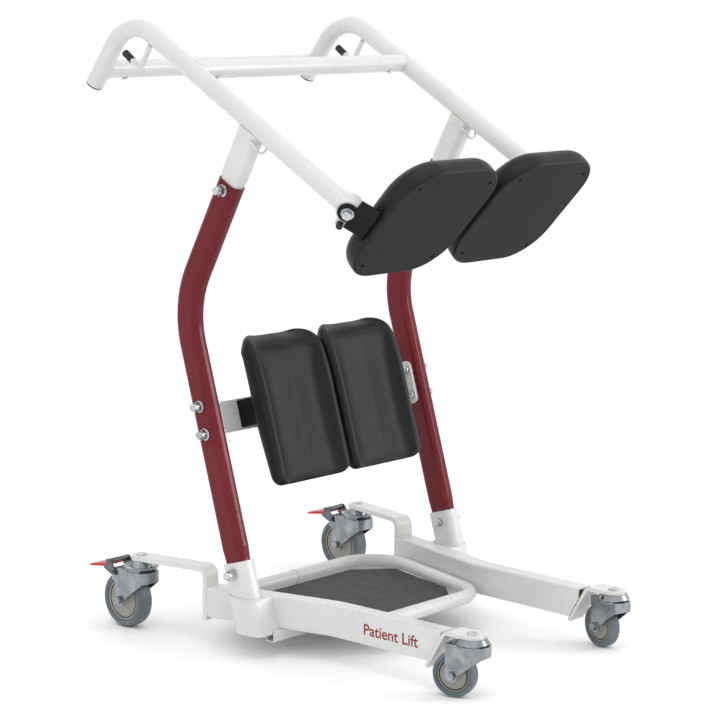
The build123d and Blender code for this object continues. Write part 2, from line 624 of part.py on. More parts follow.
def make_fork(crown, wheel_d, trail, width, ear):
    """Pressed fork: round hooded crown and two legs that narrow to the axle."""
    r, half, sheet = wheel_d / 2, width / 2 + 2.6, 2.5
    nose = 28.0
    rear = trail + 11.0
    body = extrude(fork_plan(nose + sheet, half + sheet, rear), amount=crown)
    hollow = extrude(fork_plan(nose, half, rear + 30), amount=crown - 3.0)
    front_low = crown - 0.32 * (crown - r)
    side = make_face(Plane.XZ * Polyline(
        (-nose - 4, crown + 1), (-nose - 4, front_low), (-nose + 6, front_low - 3), (trail - 12, r + 2),
        (trail - 11, r), (trail + 11, r), (rear, crown + 1), close=True))
    profile = extrude(side, amount=100, both=True)
    feet = Pos(trail, 0, r) * Rot(90, 0, 0) * Cylinder(11, 2 * (half + sheet))
    feet -= Pos(trail, 0, r) * Rot(90, 0, 0) * Cylinder(12, 2 * half)
    crown_disc = Pos(0, 0, crown - 1.5) * Cylinder(nose - 2, 3.0)
    fork = ((body & profile) - hollow) + feet + crown_disc
    if ear:
        x, z = brake_pivot(crown)
        fork = fork + (make_ears(crown, half, sheet) - hollow)
        fork -= Pos(x, 0, z) * Rot(90, 0, 0) * Cylinder(3.0 + RUN_FIT, 100)
    fork -= Pos(0, 0, crown) * Cylinder(SWIVEL_R + RUN_FIT, 40)
    return fork - Pos(trail, 0, r) * Rot(90, 0, 0) * Cylinder(AXLE_R, 100)


def wheel_shape(points, trail, r):
    """Revolves (radius, across) points about the wheel's axle."""
    face = make_face(Plane.XY * Polyline(*points, close=True))
    return Pos(trail, 0, r) * revolve(face, axis=Axis.Y)


def make_tyre(wheel_d, width, trail, bore_d):
    r, w, b = wheel_d / 2, width / 2, bore_d / 2
    half = [(b, -w + 3), (b + 4, -w), (r - 6, -w), (r, -w + 7)]
    return wheel_shape(half + [(x, -y) for x, y in reversed(half)], trail, r)


def make_hub(wheel_d, width, trail, bore_d):
    r, w, b = wheel_d / 2, width / 2, bore_d / 2
    bore = AXLE_R + RUN_FIT
    half = [(bore, w + 1.6), (11, w + 1.6), (12.5, w - 4), (b - 7, w - 4), (b - 6, w - 6), (b - 5, w - 6),
            (b - 4, w - 3), (b, w - 3)]
    points = half + [(x, -y) for x, y in reversed(half)]
    return wheel_shape(points, trail, r)


def make_axle(trail, r, width):
    half = width / 2 + 5.1
    lie = Pos(trail, 0, r) * Rot(90, 0, 0)
    shaft = lie * Cylinder(AXLE_R, 2 * half + 9)
    head = lie * Pos(0, 0, -half - 2.75) * extrude(RegularPolygon(7.4, 6), amount=2.75, both=True)
    nut = lie * Pos(0, 0, half + 3.25) * extrude(RegularPolygon(7.4, 6), amount=3.25, both=True)
    return shaft + head + nut


def make_brake(crown, width):
    """Pedal, and the lever's two cheeks with the bar and rivets that join them to the fork."""
    x, z = brake_pivot(crown)
    half = width / 2 + 5.1
    tread = make_face(Plane.XZ * Polyline(
        (68, crown), (72, crown + 4), (112, crown - 3.5), (116, crown - 7.5), (112, crown - 7.5),
        (76, crown - 2.5), close=True))
    pedal = extrude(tread, amount=half + 0.5, both=True)
    outline = Plane.XZ * Polyline(
        (43, z - 5), (56, z - 5), (75, z + 4), (70, z + 10), (67, z + 21), (58, z + 21), (44, z + 4),
        close=True)
    pieces = []
    for side in (-1, 1):
        pieces.append(Pos(0, side * (half + 1.6), 0) * extrude(make_face(outline), amount=1.1, both=True))
        pieces.append(Pos(x, side * (half + 1.3), z) * Rot(90, 0, 0) * Cylinder(3.0, 7.4))
    bar = Pos(62.6, 0, crown + 9.0) * Rot(90, 0, 0) * Cylinder(4.2, 2 * half + 6)
    left, right = pieces[0] + pieces[1], pieces[2] + pieces[3]
    return pedal, left + bar + right


# ---------------------------------------------------------------- build and write
def build_base():
    leg_outer = leg_body(leg_path(), LEG_W, LEG_H, 4.0)
    write_pair("leg", make_leg())
    socket = make_socket(leg_outer)
    foot_bolt = bolt_places()[-1]
    bolt_cut = rod_x(-SIDE_X - 60, -SIDE_X + 60, foot_bolt[0], foot_bolt[1], BOLT_R)
    write_pair("post_socket", socket - bolt_cut)
    write_pair("rear_caster_arm", make_rear_caster_arm())
    write_pair("front_caster_plate", make_front_caster_plate())
    write("base_cross_tube", make_cross_tube())
    write("platform_hoop", make_hoop())
    pan, mat = make_pan_and_mat()
    write("platform_pan", pan)
    write("platform_mat", mat)


def build_upper():
    arm_outer = swept(arm_path(), Circle(TUBE_R))
    places = bolt_places()
    bolt_cuts = [rod_x(-SIDE_X - 60, -SIDE_X + 60, y, z, BOLT_R) for y, z, *_ in places]
    write_pair("post", make_post() - bolt_cuts)
    write_pair("arm", make_arm())
    write("arm_necks", *both([make_neck(arm_outer) - bolt_cuts[0]]))
    bars = {"crossbar_front": BAR_FRONT, "crossbar_rear": BAR_REAR}
    stubs, screws = [], []
    for name, (y, z) in bars.items():
        cut = screw_hole(-BAR_SCREW, y, z)
        write(name, make_crossbar(y, z) - both([cut]))
        stubs.append(make_stub(y, z, arm_outer) - cut)
        screws.append(make_screw(-BAR_SCREW, y, z))
    write("crossbar_stubs", *both(stubs))
    write("crossbar_screws", *both(screws))
    write("accessory_hooks", *both([make_hook(arm_outer)]))
    write("hook_caps", *both([make_hook_cap()]))
    write("handle_plugs", *both([make_handle_plug()]))
    write("frame_bolts", *both([make_bolt(*place) for place in places]))
    nuts = [make_acorn_nut(y, z, outer) for y, z, _, outer in places]
    washers = [make_washer(y, z, outer) for y, z, _, outer in places]
    write("frame_nuts", *both(nuts + washers))
    knee_cuts = both(bolt_cuts[1:3])
    write("knee_beam", make_knee_beam() - knee_cuts)
    write("knee_pad_rail", make_knee_rail())
    write_pair("knee_pad", make_knee_pad())


def build_seats():
    bracket = make_seat_bracket()
    write_pair("seat_bracket", bracket)
    write_pair("seat_board", make_seat_board())
    write_pair("seat_cushion", make_seat_cushion(bracket))
    write("seat_stops", *both([make_stop()]))
    write("seat_pivot_bolts", *both([make_pivot_bolt()]))


def build_casters():
    stems, races = [], []
    kinds = {"rear": (REAR_BOLT, 0.0, REAR_WHEEL_D, REAR_TRAIL, 32.0, 108.0,
                      REAR_MOUNT_TOP - STRAP_T, STRAP_T),
             "front": (FRONT_BOLT, FRONT_TOE, FRONT_WHEEL_D, FRONT_TRAIL, 24.0, 90.0,
                       FRONT_MOUNT_TOP - PLATE_T, PLATE_T)}
    for kind, (bolt, toe, wheel_d, trail, width, crown, mount, thickness) in kinds.items():
        place = caster_frame(bolt, toe)
        bore_d = 0.76 * wheel_d
        write_pair(f"{kind}_fork", place * make_fork(crown, wheel_d, trail, width, kind == "rear"))
        write_pair(f"{kind}_tyre", place * make_tyre(wheel_d, width, trail, bore_d))
        write_pair(f"{kind}_hub", place * make_hub(wheel_d, width, trail, bore_d))
        write_pair(f"{kind}_axle", place * make_axle(trail, wheel_d / 2, width))
        stems.append(place * make_stem(crown, mount, thickness))
        races.append(place * make_race(crown, mount, kind == "rear"))
        if kind == "rear":
            pedal, lever = make_brake(crown, width)
            write_pair("brake_pedal", place * (pedal - lever))
            write_pair("brake_lever", place * lever)
    write("caster_stems", *both(stems))
    write("caster_races", *both(races))


os.makedirs("parts", exist_ok=True)
build_base()
build_upper()
build_seats()
build_casters()
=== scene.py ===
import json
import math

import bpy
from mathutils import Matrix, Vector, noise


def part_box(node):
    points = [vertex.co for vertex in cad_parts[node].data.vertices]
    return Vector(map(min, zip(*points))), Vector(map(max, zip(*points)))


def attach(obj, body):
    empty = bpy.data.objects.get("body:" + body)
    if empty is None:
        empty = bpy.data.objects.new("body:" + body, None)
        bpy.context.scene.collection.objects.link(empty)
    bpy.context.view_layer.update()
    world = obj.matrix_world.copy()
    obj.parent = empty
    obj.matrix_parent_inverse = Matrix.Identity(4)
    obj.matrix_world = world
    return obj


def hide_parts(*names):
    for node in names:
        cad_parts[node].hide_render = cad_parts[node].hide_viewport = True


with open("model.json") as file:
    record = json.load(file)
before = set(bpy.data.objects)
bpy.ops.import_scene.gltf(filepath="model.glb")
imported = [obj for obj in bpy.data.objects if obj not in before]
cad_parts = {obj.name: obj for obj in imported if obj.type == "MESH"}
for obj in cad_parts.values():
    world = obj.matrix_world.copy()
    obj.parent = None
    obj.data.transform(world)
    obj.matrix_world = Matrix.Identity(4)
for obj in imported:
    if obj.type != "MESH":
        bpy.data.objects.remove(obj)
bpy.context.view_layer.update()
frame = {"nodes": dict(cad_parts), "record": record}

SIDES = (("left", -1), ("right", 1))

# Driving dimensions, in metres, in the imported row's frame.
ARM_X = 0.267
TUBE_R = 0.016
ARM_ANGLE = math.radians(30.05)
NECK_LEAN = math.radians(28.5)
POST_LEAN = math.radians(16.5)
NECK_AXIS = Vector((0, -0.0022, 0.9021))       # a point on the necks' axis
BARS = (Vector((0, 0.158, 0.9902)), Vector((0, 0.388, 0.985)))
HANDLE_ANGLE = math.radians(-52.76)

SEAT_TILT = math.radians(46.7)
SEAT_CENTRE = Vector((0.125, -0.241, 0.749))
SEAT_HALF_W, SEAT_HALF_L, SEAT_CORNER, SEAT_THICK = 0.118, 0.123, 0.072, 0.045

KNEE_CENTRE = Vector((0.0945, 0.124, 0.3984))
KNEE_HALF_W, KNEE_THICK, KNEE_BACK = 0.0915, 0.029, 0.0162
KNEE_LOW, KNEE_HIGH, KNEE_ROLL_R = -0.137, 0.121, 0.040
KNEE_RIM, KNEE_END_R = 0.012, 0.018            # rise of the side rims, and rounding of the ends

REAR_WHEEL = {"radius": 0.050, "width": 0.032, "bolt": (0.2812, 0.2854), "trail": 0.037, "toe": 0.0}
FRONT_WHEEL = {"radius": 0.0375, "width": 0.024, "bolt": (0.1885, -0.4014), "trail": 0.030,
               "toe": math.radians(15)}
BORE_SHARE = 0.76                              # a tyre's bore over its diameter


# ---------------------------------------------------------------- materials
class Surface:
    """A Principled material with helpers for procedural detail in the object's own coordinates."""

    def __init__(self, name, color, roughness, metallic=0.0, coat=0.0, specular=0.5):
        self.material = bpy.data.materials.new(name)
        self.material.use_nodes = True
        self.tree = self.material.node_tree
        self.shader = self.tree.nodes["Principled BSDF"]
        self.shader.inputs["Base Color"].default_value = (*color, 1)
        self.shader.inputs["Roughness"].default_value = roughness
        self.shader.inputs["Metallic"].default_value = metallic
        self.shader.inputs["Specular IOR Level"].default_value = specular
        self.shader.inputs["Coat Weight"].default_value = coat
        self.shader.inputs["Coat Roughness"].default_value = 0.12
        self.color = color
        self.place = self.node("ShaderNodeTexCoord").outputs["Object"]
        self.normal = None

    def node(self, kind, **settings):
        made = self.tree.nodes.new(kind)
        for key, value in settings.items():
            setattr(made, key, value)
        return made

    def link(self, source, target):
        self.tree.links.new(source, target)

    def noise(self, scale, detail=3.0, rough=0.5, stretch=None):
        made = self.node("ShaderNodeTexNoise")
        made.inputs["Scale"].default_value = scale
        made.inputs["Detail"].default_value = detail
        made.inputs["Roughness"].default_value = rough
        self.link(self.stretched(stretch) if stretch else self.place, made.inputs["Vector"])
        return made.outputs["Fac"]

    def stretched(self, factors):
        made = self.node("ShaderNodeMapping")
        made.inputs["Scale"].default_value = factors
        self.link(self.place, made.inputs["Vector"])
        return made.outputs["Vector"]

    def cells(self, scale, feature="F1", smoothness=None):
        made = self.node("ShaderNodeTexVoronoi", feature=feature)
        made.inputs["Scale"].default_value = scale
        if smoothness is not None:
            made.inputs["Smoothness"].default_value = smoothness
        self.link(self.place, made.inputs["Vector"])
        return made.outputs["Distance"]

    def ramp(self, value, low, high, from_low=0.3, from_high=0.7):
        made = self.node("ShaderNodeMapRange")
        made.inputs["From Min"].default_value = from_low
        made.inputs["From Max"].default_value = from_high
        made.inputs["To Min"].default_value = low
        made.inputs["To Max"].default_value = high
        self.link(value, made.inputs["Value"])
        return made.outputs["Result"]

    def tint(self, value, other, low=0.3, high=0.7):
        """Shades the base colour towards another one."""
        mix = self.node("ShaderNodeMix", data_type="RGBA")
        self.link(self.ramp(value, 0, 1, low, high), mix.inputs["Factor"])
        mix.inputs["A"].default_value = (*self.color, 1)
        mix.inputs["B"].default_value = (*other, 1)
        self.link(mix.outputs["Result"], self.shader.inputs["Base Color"])
        return self

    def rough(self, value, low, high):
        self.link(self.ramp(value, low, high), self.shader.inputs["Roughness"])
        return self

    def bump(self, value, depth, strength=1.0):
        """Adds relief of a depth in metres on top of what is there."""
        made = self.node("ShaderNodeBump")
        made.inputs["Distance"].default_value = depth
        made.inputs["Strength"].default_value = strength
        self.link(value, made.inputs["Height"])
        if self.normal is not None:
            self.link(self.normal, made.inputs["Normal"])
        self.normal = made.outputs["Normal"]
        self.link(self.normal, self.shader.inputs["Normal"])
        return self

    def round_edges(self, radius):
        made = self.node("ShaderNodeBevel", samples=6)
        made.inputs["Radius"].default_value = radius
        self.normal = made.outputs["Normal"]
        self.link(self.normal, self.shader.inputs["Normal"])
        return self


def powder_coat(name, color, shade, roughness=0.3, coat=0.2, specular=0.4):
    """Sprayed and baked paint: orange peel, faint clouds of tone, and softened edges."""
    made = Surface(name, color, roughness, coat=coat, specular=specular).round_edges(0.0012)
    made.tint(made.noise(9, 4), shade)
    made.rough(made.noise(35, 4), roughness - 0.05, roughness + 0.08)
    made.bump(made.noise(420, 2), 0.00010, 0.35)
    return made.bump(made.noise(1900, 2), 0.00004, 0.3).material


def zinc(name, color=(0.36, 0.38, 0.40), roughness=0.22):
    """Zinc-plated pressed steel: fine draw marks and blotches in the gloss."""
    made = Surface(name, color, roughness, metallic=1.0).round_edges(0.0008)
    made.tint(made.noise(48, 4), tuple(0.62 * c for c in color), 0.35, 0.65)
    made.rough(made.noise(130, 6), roughness - 0.09, roughness + 0.16)
    made.bump(made.noise(260, 5), 0.00012, 0.4)
    return made.bump(made.noise(900, 3, stretch=(1, 1, 12)), 0.00003, 0.35).material


def skinned_foam(name, color, specular):
    """Moulded foam skin: pebble grain with fine pores, almost without gloss."""
    made = Surface(name, color, 0.45, specular=specular)
    made.tint(made.noise(14, 5), tuple(1.35 * c for c in color))
    made.rough(made.noise(500, 4), 0.36, 0.52)
    made.bump(made.cells(620, "SMOOTH_F1", 0.4), 0.00035, 0.55)
    return made.bump(made.noise(1700, 3), 0.00012, 0.5).material


def moulded_plastic(name, color, roughness, grain=1400):
    made = Surface(name, color, roughness).round_edges(0.0005)
    made.tint(made.noise(40, 4), tuple(0.85 * c for c in color))
    made.rough(made.noise(200, 4), roughness - 0.06, roughness + 0.08)
    return made.bump(made.noise(grain, 3), 0.00008, 0.4).material


def rubber(name, color, roughness=0.72, grain=1100, depth=0.00018):
    made = Surface(name, color, roughness)
    made.tint(made.noise(22, 5), tuple(1.5 * c for c in color))
    made.rough(made.noise(90, 5), roughness - 0.1, roughness + 0.1)
    return made.bump(made.noise(grain, 4, 0.65), depth, 0.6).material


def mat_rubber(name):
    """Sheet rubber with a fine leathery face."""
    made = Surface(name, (0.028, 0.029, 0.030), 0.72)
    made.tint(made.noise(30, 6, 0.6), (0.045, 0.046, 0.047))
    made.rough(made.noise(60, 4), 0.62, 0.82)
    made.bump(made.cells(420, "SMOOTH_F1", 0.5), 0.0004, 0.5)
    return made.bump(made.noise(1500, 3), 0.0001, 0.5).material


def ink(name, color):
    made = Surface(name, color, 0.35)
    made.tint(made.noise(300, 3), tuple(0.85 * c for c in color))
    return made.bump(made.noise(900, 2), 0.00003, 0.3).material


WHITE = powder_coat("white_enamel", (0.655, 0.660, 0.640), (0.61, 0.615, 0.60))
MAROON = powder_coat("maroon_enamel", (0.150, 0.0125, 0.019), (0.12, 0.010, 0.015),
                     roughness=0.24, coat=0.10, specular=0.14)
BLACK_STEEL = powder_coat("black_enamel", (0.006, 0.006, 0.0065), (0.009, 0.009, 0.009),
                          coat=0.0, specular=0.14)
ZINC = zinc("zinc_plate")
BRIGHT = zinc("bright_zinc", (0.62, 0.64, 0.66), 0.18)
SHEET = powder_coat("galvanised_sheet", (0.55, 0.56, 0.56), (0.48, 0.49, 0.50), roughness=0.42, coat=0.0)
DARK_LEVER = zinc("dark_lever", (0.16, 0.17, 0.18), 0.34)
RED = moulded_plastic("red_pedal", (0.52, 0.012, 0.014), 0.34)
FOAM = skinned_foam("pad_foam", (0.0046, 0.0052, 0.0062), 0.25)
BOARD = skinned_foam("pad_board", (0.0085, 0.0090, 0.0092), 0.05)
MAT = mat_rubber("mat_rubber")
BLACK_RUBBER = rubber("black_rubber", (0.012, 0.012, 0.012))
TYRE = rubber("tyre_grey", (0.085, 0.098, 0.112), roughness=0.46, grain=700, depth=0.00006)
HUB = moulded_plastic("hub_grey", (0.30, 0.295, 0.265), 0.42)
# Near-black painted shade for the hub's ring groove: it darkens the groove where the groove's own shade
# falls.
HUB_GROOVE_SHADE = rubber("hub_groove_painted_shade", (0.02, 0.02, 0.02), 0.6)
RED_INK = ink("red_ink", (0.22, 0.008, 0.012))

SLOT_LOOKS = {"white_enamel": WHITE, "maroon_enamel": MAROON, "black_enamel": BLACK_STEEL,
              "zinc_plate": ZINC, "galvanised_sheet": SHEET, "dark_lever": DARK_LEVER,
              "red_pedal": RED, "pad_foam": FOAM, "pad_board": BOARD, "black_rubber": BLACK_RUBBER,
              "tyre_grey": TYRE, "hub_grey": HUB}
NODE_LOOKS = {"platform_mat": MAT, "frame_nuts": BRIGHT, "frame_bolts": BRIGHT, "crossbar_screws": BRIGHT,
              "seat_pivot_bolts": BRIGHT, "caster_stems": BRIGHT}


def dress_frame():
    """Gives every CAD node its material."""
    slots = {part["node"]: part["material_slot"] for part in frame["record"]["subparts"]}
    for node, piece in frame["nodes"].items():
        piece.data.materials.clear()
        piece.data.materials.append(NODE_LOOKS.get(node, SLOT_LOOKS[slots[node]]))


# ---------------------------------------------------------------- mesh helpers
def add_mesh(name, points, faces, material, angle=40.0):
    mesh = bpy.data.meshes.new(name)
    mesh.from_pydata([tuple(p) for p in points], [], faces)
    mesh.materials.append(material)
    mesh.update()
    mesh.shade_smooth()
    mesh.set_sharp_from_angle(angle=math.radians(angle))
    made = bpy.data.objects.new(name, mesh)
    bpy.context.scene.collection.objects.link(made)
    return made


def loft(name, rings, material, angle=40.0, closed=False):
    """A skin over rings of equal length. Open lofts are closed by a fan at each end."""
    count = len(rings[0])
    points = [p for ring in rings for p in ring]
    spans = len(rings) if closed else len(rings) - 1
    faces = []
    for i in range(spans):
        a, b = i * count, ((i + 1) % len(rings)) * count
        faces += [(a + j, a + (j + 1) % count, b + (j + 1) % count, b + j) for j in range(count)]
    if not closed:
        for ring, start, flip in ((rings[0], 0, True), (rings[-1], (len(rings) - 1) * count, False)):
            middle = sum(ring, Vector()) / count
            points.append(middle)
            hub = len(points) - 1
            for j in range(count):
                face = (start + j, start + (j + 1) % count, hub)
                faces.append(face[::-1] if flip else face)
    return add_mesh(name, points, faces, material, angle)


def bend_frame(points, i, closed):
    last = len(points) - 1
    before = points[i - 1] if i or closed else points[0]
    after = points[(i + 1) % len(points)] if i < last or closed else points[last]
    return (after - before).normalized()


def tube(name, points, radius, material, closed=False, sides=12, ripple=0.0, pitch=0.004, angle=40.0):
    """A round bead along points. A ripple makes it a weld bead of overlapping scales."""
    rings, travel = [], 0.0
    side = None
    for i, point in enumerate(points):
        way = bend_frame(points, i, closed)
        if side is None:
            side = way.orthogonal().normalized()
        side = (side - way * side.dot(way)).normalized()
        up = way.cross(side)
        if i:
            travel += (point - points[i - 1]).length
        wobble = 1 + ripple * math.sin(2 * math.pi * travel / pitch) + ripple * 0.6 * noise.noise(point * 300)
        rings.append([point + (side * math.cos(a) + up * math.sin(a)) * radius * wobble
                      for a in (2 * math.pi * k / sides for k in range(sides))])
    return loft(name, rings, material, angle, closed)


def revolve(name, profile, centre, axis, materials, steps=96):
    """Turns a closed (radius, across, material index) profile about an axis."""
    axis = Vector(axis).normalized()
    side = axis.orthogonal().normalized()
    up = axis.cross(side)
    count = len(profile)
    points = []
    for k in range(steps):
        a = 2 * math.pi * k / steps
        out = side * math.cos(a) + up * math.sin(a)
        points += [centre + out * r + axis * w for r, w, _ in profile]
    faces, indices = [], []
    for k in range(steps):
        a, b = k * count, ((k + 1) % steps) * count
        for j in range(count):
            faces.append((a + j, a + (j + 1) % count, b + (j + 1) % count, b + j))
            indices.append(profile[j][2])
    made = add_mesh(name, points, faces, materials[0], 32.0)
    for extra in materials[1:]:
        made.data.materials.append(extra)
    made.data.polygons.foreach_set("material_index", indices)
    made.data.update()
    return made


def arc(centre, radius, start, end, steps):
    """(u, v) points on an arc, angles in degrees."""
    angles = [math.radians(start + (end - start) * i / steps) for i in range(steps + 1)]
    return [(centre[0] + radius * math.cos(a), centre[1] + radius * math.sin(a)) for a in angles]


def rounded_rectangle(half_w, half_l, corner, per_corner=12, per_side=8):
    """Points of a rounded rectangle, evenly shared between corners and sides."""
    corner = min(corner, half_w, half_l)
    points = []
    for turn, (sx, sy) in enumerate(((1, 1), (-1, 1), (-1, -1), (1, -1))):
        centre = (sx * (half_w - corner), sy * (half_l - corner))
        run = arc(centre, corner, 90 * turn, 90 * turn + 90, per_corner)
        points += run
        nx, ny = ((-1, 1), (-1, -1), (1, -1), (1, 1))[turn]
        start = 90 * turn + 90
        follow = arc((nx * (half_w - corner), ny * (half_l - corner)), corner, start, start + 1, 1)[0]
        for i in range(1, per_side):
            points.append(tuple(run[-1][k] + (follow[k] - run[-1][k]) * i / per_side for k in (0, 1)))
    return points


# ---------------------------------------------------------------- seat pads
def seat_space(side):
    """Origin and (x, along, normal) directions of a pad's underside."""
    normal = Vector((0, math.sin(SEAT_TILT), math.cos(SEAT_TILT)))
    along = Vector((0, -math.cos(SEAT_TILT), math.sin(SEAT_TILT)))
    origin = Vector((side * SEAT_CENTRE.x, SEAT_CENTRE.y, SEAT_CENTRE.z))
    return origin, Vector((1, 0, 0)), along, normal


def seat_profile():
    """(inset, height) pairs from the underside's middle, round the rim, to the crowned top."""
    board, low, high = 0.0040, 0.004, 0.027    # the board's inset, and the lower and upper edge radii
    top = SEAT_THICK - 0.002
    recess = [(board, 0.0095), (board, 0.0004), (board - 0.0012, 0.0)]
    rim = [(low - low * math.sin(a), low - low * math.cos(a))
           for a in (math.radians(18 * i) for i in range(6))]
    shoulder = [(high - high * math.cos(a), top - high + high * math.sin(a))
                for a in (math.radians(9 * i) for i in range(11))]
    crown = [(0.04, top + 0.0012), (0.055, top + 0.0028), (0.075, top + 0.0042), (0.098, top + 0.0050)]
    return recess + rim + [(-0.0004, 0.010)] + shoulder + crown


def make_seat_pad(name, side):
    origin, x, along, normal = seat_space(side)
    rings = []
    for inset, height in seat_profile():
        corner = max(SEAT_CORNER - inset, 0.012)
        outline = rounded_rectangle(SEAT_HALF_W - inset, SEAT_HALF_L - inset, corner)
        swell = 0.0006 * math.sin(math.pi * min(height / SEAT_THICK, 1))
        rings.append([origin + x * u * (1 + swell) + along * v + normal * height for u, v in outline])
    pad = loft(f"seat_pad_{name}", rings, FOAM, 50.0)
    soften(pad)
    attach(pad, f"seat_{name}")
    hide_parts(f"seat_cushion_{name}")


def soften(piece, levels=1):
    """Rounds the piece by subdivision and keeps the result as its mesh."""
    modifier = piece.modifiers.new("soft", "SUBSURF")
    modifier.levels = modifier.render_levels = levels
    bpy.context.view_layer.update()
    evaluated = piece.evaluated_get(bpy.context.evaluated_depsgraph_get())
    mesh = bpy.data.meshes.new_from_object(evaluated)
    piece.modifiers.clear()
    piece.data = mesh
    mesh.shade_smooth()


# ---------------------------------------------------------------- shin pads
def knee_section(channel_depth):
    """(across, forward) points of a shin pad: two raised rims with a shallow channel between them."""
    half, thick = KNEE_HALF_W, KNEE_THICK
    rim_r, side_r = 0.0115, 0.019
    side = arc((half - side_r, side_r), side_r, -62, 0, 6)
    side += arc((half - rim_r, thick + KNEE_RIM - rim_r), rim_r, 12, 125, 9)
    start = side[-1]
    channel = []
    for i in range(1, 20):
        t = i / 20
        depth = channel_depth * (1 - abs(2 * t - 1) ** 6 - 0.35 * (1 - abs(2 * t - 1)) ** 1.5)
        channel.append((start[0] * (1 - 2 * t), start[1] - depth))
    return side + channel + [(-u, v) for u, v in reversed(side)]


def knee_stations():
    """Along the pad: (height, roll angle, overhang past the roll, end shrink, corner inset)."""
    end_r, corner_r = KNEE_END_R, 0.046
    roll_start, roll_angle = KNEE_HIGH - 0.030, math.radians(55)
    stations = [(KNEE_LOW + end_r * (1 - math.cos(a)), 0.0, 0.0, end_r * (1 - math.sin(a)))
                for a in (math.radians(15 * i) for i in range(7))]
    stations += [(KNEE_LOW + end_r + (roll_start - KNEE_LOW - end_r) * i / 10, 0.0, 0.0, 0.0)
                 for i in range(1, 11)]
    stations += [(roll_start, roll_angle * i / 8, 0.0, 0.0) for i in range(1, 9)]
    stations += [(roll_start, roll_angle, end_r * math.sin(a), end_r * (1 - math.cos(a)))
                 for a in (math.radians(15 * i) for i in range(1, 7))]
    lengths = [height + KNEE_ROLL_R * angle + past for height, angle, past, _ in stations]
    shaped = []
    for station, length in zip(stations, lengths):
        into = max(0.0, length - (lengths[-1] - corner_r))
        shaped.append((*station, corner_r - math.sqrt(max(corner_r ** 2 - into ** 2, 0.0))))
    return shaped


def make_knee_pad(name, side):
    lean_up = Vector((0, math.sin(POST_LEAN), math.cos(POST_LEAN)))
    forward = Vector((0, -math.cos(POST_LEAN), math.sin(POST_LEAN)))
    centre = Vector((side * KNEE_CENTRE.x, KNEE_CENTRE.y, KNEE_CENTRE.z)) + forward * KNEE_BACK
    front = KNEE_THICK + KNEE_RIM
    middle = 0.55 * front
    rings = []
    for p, a, past, shrink, corner in knee_stations():
        out = forward * math.cos(a) + lean_up * math.sin(a)
        up = lean_up * math.cos(a) - forward * math.sin(a)
        hub = centre + lean_up * p - forward * (KNEE_ROLL_R - KNEE_THICK)
        fade = max(0.0, min(1.0, (p + KNEE_ROLL_R * a - 0.02) / 0.085))
        low = max(0.0, min(1.0, (-0.03 - p) / 0.107))
        section = knee_section(0.0165 * (1 - fade ** 2 * 0.6))
        ring = []
        for u, v in section:
            across = u * (1 - max(shrink, corner) / KNEE_HALF_W)
            deep = front - (front - v) * (1 - 0.30 * low)
            deep -= 0.010 * fade ** 2 * (v / front)
            deep = middle + (deep - middle) * (1 - 0.92 * shrink / KNEE_END_R)
            ring.append(hub + Vector((across, 0, 0)) + out * (KNEE_ROLL_R - KNEE_THICK + deep) + up * past)
        rings.append(ring)
    pad = loft(f"shin_pad_{name}", rings, FOAM, 60.0)
    soften(pad)
    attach(pad, "frame")
    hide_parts(f"knee_pad_{name}")


# ---------------------------------------------------------------- wheels
def tyre_profile(radius, half, bore):
    """Closed profile of the tread and its rounded shoulders."""
    shoulder = 0.13 * radius
    right = [(bore, half - 0.0035), (bore + 0.0012, half - 0.0016), (bore + 0.004, half - 0.0004)]
    right += [(radius - shoulder - 0.001, half)]
    right += arc((radius - shoulder - 0.0006, half - shoulder), shoulder, 75, 5, 8)
    right += [(radius - 0.0001, 0.35 * half), (radius, 0.0)]
    left = [(r, -w) for r, w in reversed(right[:-1])]
    return [(r, w, 0) for r, w in right + left]


def hub_profile(radius, half, bore):
    """Closed profile of the moulded hub: bearing boss, dished web, ring groove (its faces carry a near-black
    painted shade) and outer lip.
    """
    axle = 0.00405
    ring = bore - 0.10 * radius
    boss = [(axle, half + 0.0016, 0), (0.0085, half + 0.0016, 0), (0.0105, half + 0.0008, 0),
            (0.0125, half - 0.0050, 0)]
    web = [(0.5 * (0.0125 + ring), half - 0.0062, 0), (ring - 0.0018, half - 0.0050, 0)]
    # The groove's faces take material 1, the near-black painted shade of the groove.
    groove = [(ring - 0.0008, half - 0.0042, 1), (ring - 0.0004, half - 0.0070, 1),
              (ring + 0.0006, half - 0.0070, 1)]
    lip = [(ring + 0.0010, half - 0.0040, 0), (bore - 0.0016, half - 0.0030, 0), (bore, half - 0.0042, 0)]
    right = boss + web + groove + lip
    left = [(r, -w, m) for r, w, m in reversed(right)]
    shifted = left[1:] + [left[-1]]
    return right + [(r, w, shifted[i][2] if i < len(left) - 1 else 0) for i, (r, w, _) in enumerate(left)]


def wheel_place(kind, side):
    across = Vector((math.cos(kind["toe"]), -side * math.sin(kind["toe"]), 0))
    back = Vector((side * math.sin(kind["toe"]), math.cos(kind["toe"]), 0))
    bolt = Vector((side * kind["bolt"][0], kind["bolt"][1], 0))
    return bolt + back * kind["trail"] + Vector((0, 0, kind["radius"])), across


def make_wheel(prefix, kind, name, side):
    radius, half = kind["radius"], kind["width"] / 2
    bore = BORE_SHARE * radius
    centre, across = wheel_place(kind, side)
    tyre = revolve(f"{prefix}_tread_{name}", tyre_profile(radius, half, bore), centre, across, [TYRE])
    hub = revolve(f"{prefix}_wheel_disc_{name}", hub_profile(radius, half, bore), centre, across,
                  # The hub's second material is the painted shade in its ring groove.
                  [HUB, HUB_GROOVE_SHADE])
    for piece, node, slot in ((tyre, "tyre", "tyre_grey"), (hub, "hub", "hub_grey")):
        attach(piece, f"{prefix}_wheel_{name}")
        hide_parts(f"{prefix}_{node}_{name}")


